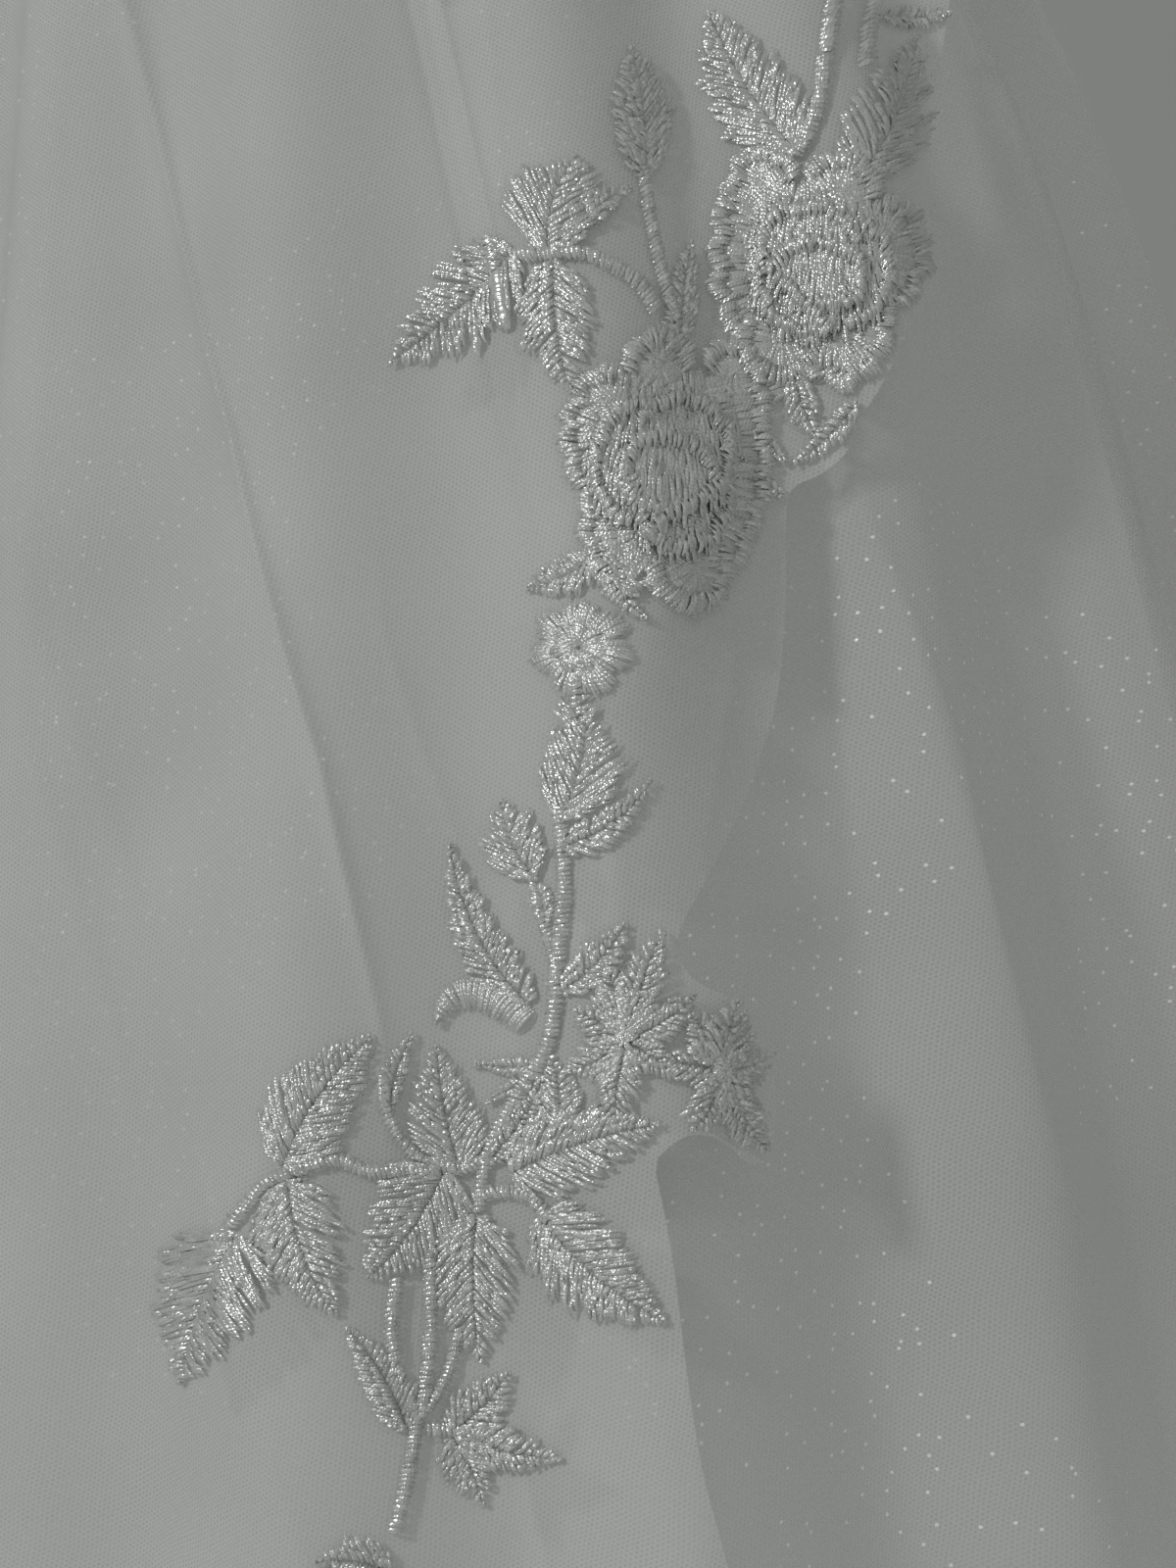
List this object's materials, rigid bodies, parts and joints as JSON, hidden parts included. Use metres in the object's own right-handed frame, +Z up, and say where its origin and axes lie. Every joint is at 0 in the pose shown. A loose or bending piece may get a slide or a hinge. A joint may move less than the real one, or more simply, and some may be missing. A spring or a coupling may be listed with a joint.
{
  "type": "bridal veil",
  "caption": "Two-tier bridal veil of fine net gathered on a hair comb, its upper tier cut to a drop shape and edged with embroidered roses, leaves and small flowers.",
  "frame": {"origin": "middle of the comb's spine, where the wearer's hair holds the veil", "axes": "+Z up; the back of the veil, which shows, faces -Y; the comb's teeth and the open front point towards +Y; +X to the right as seen from behind"},
  "size_m": [0.6592, 0.2479, 1.0483],
  "materials": {
    "sparkle_net": "fine soft net with small sparkles, see-through",
    "net": "fine soft hexagonal net, see-through",
    "thread": "glossy white satin-stitch embroidery thread",
    "ribbon": "white satin binding",
    "comb": "clear moulded plastic"
  },
  "bodies": {
    "root": {"comb": "comb", "heading": "ribbon", "tier_lower": "sparkle_net", "tier_upper": "net", "spray_right_1": "thread", "spray_right_2": "thread", "spray_right_3": "thread", "spray_left_1": "thread", "spray_left_2": "thread", "spray_left_3": "thread"}
  },
  "joints": []
}
